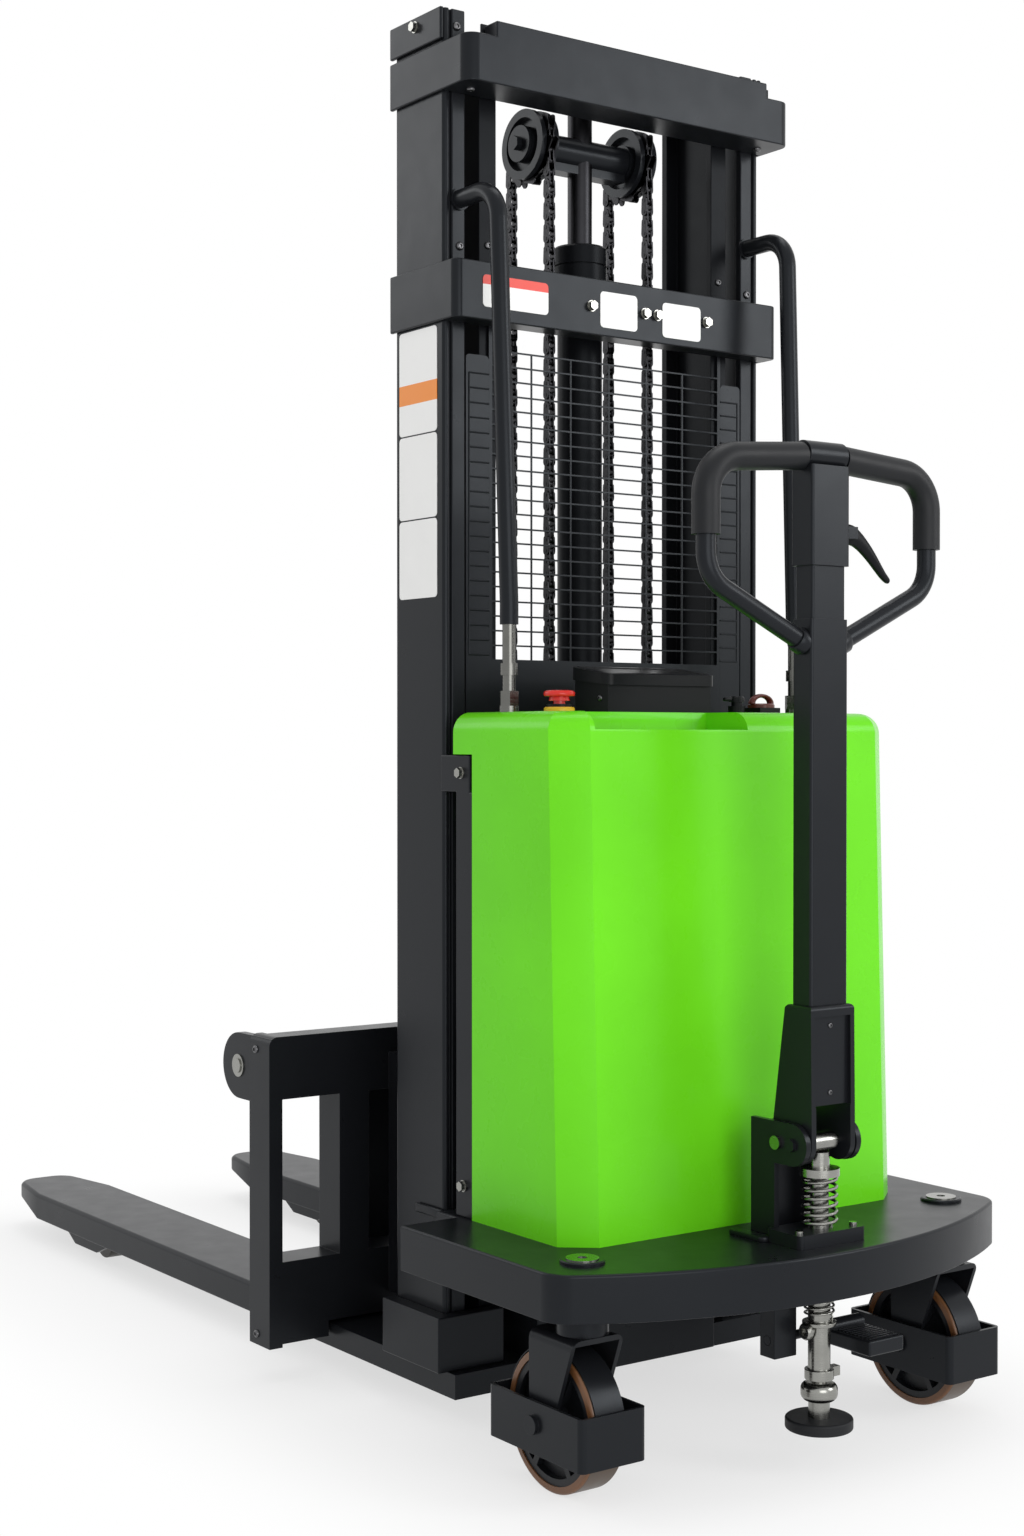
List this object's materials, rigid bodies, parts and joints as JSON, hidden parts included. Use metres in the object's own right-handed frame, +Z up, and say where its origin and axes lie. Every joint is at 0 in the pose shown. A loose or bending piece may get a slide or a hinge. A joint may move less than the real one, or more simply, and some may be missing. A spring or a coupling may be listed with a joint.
{
  "type": "semi-electric stacker",
  "caption": "Semi-electric pedestrian stacker: two-stage chain mast with wire guard, fork carriage over straddle legs, boxed power cover, swivel castors, floor lock and upright tiller.",
  "frame": {"origin": "on the floor, below the middle of the overall box", "axes": "+Z up, +Y along the forks towards their tips, +X to the right of a person at the tiller"},
  "size_m": [0.8, 2, 1.941],
  "materials": {
    "black_paint": "satin black powder coat",
    "lime_paint": "glossy lime green paint",
    "battery_case": "moulded battery case",
    "motor_paint": "grey paint",
    "tank_steel": "grey paint",
    "black_plastic": "moulded black plastic",
    "zinc": "zinc-plated steel",
    "bright_rod": "ground and oiled steel",
    "chain_steel": "oiled leaf chain",
    "roller_steel": "ground bearing steel",
    "red_plastic": "glossy red",
    "dark_red_plastic": "dark red",
    "grip_rubber": "soft black grip",
    "pad_rubber": "black rubber",
    "wheel_core": "black cast core",
    "polyurethane": "brown polyurethane tread",
    "nylon": "dark nylon"
  },
  "bodies": {
    "chassis": {"base_plate": "black_paint", "legs": "black_paint", "rear_cross_member": "black_paint", "foot_blocks": "black_paint", "columns": "black_paint", "mast_top_beam": "black_paint", "mast_mid_beam": "black_paint", "mesh_guard": "black_paint", "lift_cylinder": "black_paint", "cover": "lime_paint", "cover_frame": "black_paint", "battery": "battery_case", "power_unit": "motor_paint", "oil_tank": "tank_steel", "instrument_box": "black_plastic", "switch_bases": "black_plastic", "grab_rails": "black_paint", "rail_fittings": "zinc", "tiller_bracket": "black_paint", "lock_sleeve": "zinc", "lock_spring": "zinc", "chain_anchor": "black_paint", "fasteners": "zinc", "plunger_spring": "zinc", "chain_falls_rear": "chain_steel"},
    "inner_mast": {"inner_rails": "black_paint", "inner_cross_members": "black_paint", "lift_rod": "bright_rod", "crosshead": "black_paint", "chain_wraps": "chain_steel", "chain_falls_front": "chain_steel"},
    "carriage": {"carriage_frame": "black_paint", "fork_left": "black_paint", "fork_right": "black_paint", "fork_shaft": "zinc"},
    "sheave_pair": {"sheaves": "black_paint"},
    "mast_roller_pair": {"mast_rollers": "roller_steel"},
    "carriage_roller_pair_lower": {"carriage_rollers_lower": "roller_steel"},
    "carriage_roller_pair_upper": {"carriage_rollers_upper": "roller_steel"},
    "tiller": {"tiller_yoke": "black_paint", "tiller_arm": "black_paint", "handle_loop": "black_paint", "handle_grips": "grip_rubber"},
    "tiller_cam_roller": {"tiller_roller": "zinc"},
    "lift_lever": {"control_lever": "black_plastic"},
    "pump_plunger": {"plunger": "zinc"},
    "floor_lock_pedal": {"lock_pedal": "black_paint"},
    "floor_lock_foot": {"lock_stem": "zinc", "lock_pad": "pad_rubber"},
    "instrument_lid": {"box_lid": "black_plastic"},
    "emergency_stop": {"estop_button": "red_plastic"},
    "ignition_key": {"key": "zinc"},
    "battery_isolator": {"isolator_lever": "dark_red_plastic"},
    "load_roller_pair": {"load_rollers": "nylon"},
    "castor_fork_left": {"castor_frame_left": "black_paint"},
    "castor_fork_right": {"castor_frame_right": "black_paint"},
    "castor_roll_left": {"castor_wheel_left": "wheel_core", "castor_tread_left": "polyurethane"},
    "castor_roll_right": {"castor_wheel_right": "wheel_core", "castor_tread_right": "polyurethane"}
  },
  "joints": [
    {"name": "mast_lift", "type": "slide", "parent": "chassis", "child": "inner_mast", "axis": [0, 0, 1], "range_m": [0, 1.25], "deforming": ["chain_falls_rear"]},
    {"name": "carriage_lift", "type": "slide", "parent": "inner_mast", "child": "carriage", "axis": [0, 0, 1], "range_m": [0, 1.25], "deforming": ["chain_falls_front"]},
    {"name": "sheave_turn", "type": "hinge", "parent": "inner_mast", "child": "sheave_pair", "pos_m": [0, -0.428, 1.797], "axis": [1, 0, 0], "range_deg": [0, 1560]},
    {"name": "mast_roller_turn", "type": "hinge", "parent": "inner_mast", "child": "mast_roller_pair", "pos_m": [0, -0.436, 0.16], "axis": [1, 0, 0], "range_deg": [0, 1445]},
    {"name": "carriage_roller_lower_turn", "type": "hinge", "parent": "carriage", "child": "carriage_roller_pair_lower", "pos_m": [0, -0.436, 0.152], "axis": [1, 0, 0], "range_deg": [0, 1570]},
    {"name": "carriage_roller_upper_turn", "type": "hinge", "parent": "carriage", "child": "carriage_roller_pair_upper", "pos_m": [0, -0.436, 0.42], "axis": [1, 0, 0], "range_deg": [-1570, 0]},
    {"name": "tiller_swing", "type": "hinge", "parent": "chassis", "child": "tiller", "pos_m": [0, -0.91, 0.42], "axis": [1, 0, 0], "range_deg": [0, 60], "stiffness_Nm_per_rad": 60, "springref_deg": -11.46},
    {"name": "tiller_roller_turn", "type": "hinge", "parent": "tiller", "child": "tiller_cam_roller", "pos_m": [0, -0.938, 0.42], "axis": [1, 0, 0], "continuous": true},
    {"name": "lift_lever_swing", "type": "hinge", "parent": "tiller", "child": "lift_lever", "pos_m": [0.047, -0.938, 1.205], "axis": [0, 1, 0], "range_deg": [-16, 6], "stiffness_Nm_per_rad": 0.6},
    {"name": "plunger_stroke", "type": "slide", "parent": "chassis", "child": "pump_plunger", "axis": [0, 0, -1], "range_m": [0, 0.0294], "deforming": ["plunger_spring"]},
    {"name": "lock_pedal_swing", "type": "hinge", "parent": "chassis", "child": "floor_lock_pedal", "pos_m": [0, -0.905, 0.165], "axis": [1, 0, 0], "range_deg": [0, 25]},
    {"name": "lock_foot_drop", "type": "slide", "parent": "chassis", "child": "floor_lock_foot", "axis": [0, 0, -1], "range_m": [0, 0.0495]},
    {"name": "lid_swing", "type": "hinge", "parent": "chassis", "child": "instrument_lid", "pos_m": [-0.0575, -0.607, 1.015], "axis": [-1, 0, 0], "range_deg": [0, 85]},
    {"name": "emergency_stop_press", "type": "slide", "parent": "chassis", "child": "emergency_stop", "axis": [0, 0, -1], "range_m": [0, 0.004]},
    {"name": "key_turn", "type": "hinge", "parent": "chassis", "child": "ignition_key", "pos_m": [0.085, -0.68, 0.985], "axis": [0, 0, 1], "range_deg": [0, 90]},
    {"name": "isolator_turn", "type": "hinge", "parent": "chassis", "child": "battery_isolator", "pos_m": [0.131, -0.68, 0.983], "axis": [0, 0, 1], "range_deg": [0, 90]},
    {"name": "load_roller_turn", "type": "hinge", "parent": "chassis", "child": "load_roller_pair", "pos_m": [0, 0.655, 0.037], "axis": [1, 0, 0], "continuous": true},
    {"name": "castor_swivel_left", "type": "hinge", "parent": "chassis", "child": "castor_fork_left", "pos_m": [-0.317, -0.85, 0.231], "axis": [0, 0, 1], "continuous": true},
    {"name": "castor_wheel_turn_left", "type": "hinge", "parent": "castor_fork_left", "child": "castor_roll_left", "pos_m": [-0.317, -0.817, 0.09], "axis": [1, 0, 0], "continuous": true},
    {"name": "castor_swivel_right", "type": "hinge", "parent": "chassis", "child": "castor_fork_right", "pos_m": [0.317, -0.85, 0.231], "axis": [0, 0, 1], "continuous": true},
    {"name": "castor_wheel_turn_right", "type": "hinge", "parent": "castor_fork_right", "child": "castor_roll_right", "pos_m": [0.317, -0.817, 0.09], "axis": [1, 0, 0], "continuous": true}
  ],
  "couplings": [
    {"joint": "carriage_lift", "follows": "mast_lift", "ratio": 1},
    {"joint": "sheave_turn", "follows": "mast_lift", "rad_per_m": 21.598},
    {"joint": "mast_roller_turn", "follows": "mast_lift", "rad_per_m": 20.08},
    {"joint": "carriage_roller_lower_turn", "follows": "mast_lift", "rad_per_m": 21.834},
    {"joint": "carriage_roller_upper_turn", "follows": "mast_lift", "rad_per_m": -21.834},
    {"joint": "plunger_stroke", "follows": "tiller_swing", "m_per_rad": 0.028},
    {"joint": "lock_foot_drop", "follows": "lock_pedal_swing", "m_per_rad": 0.1123}
  ]
}
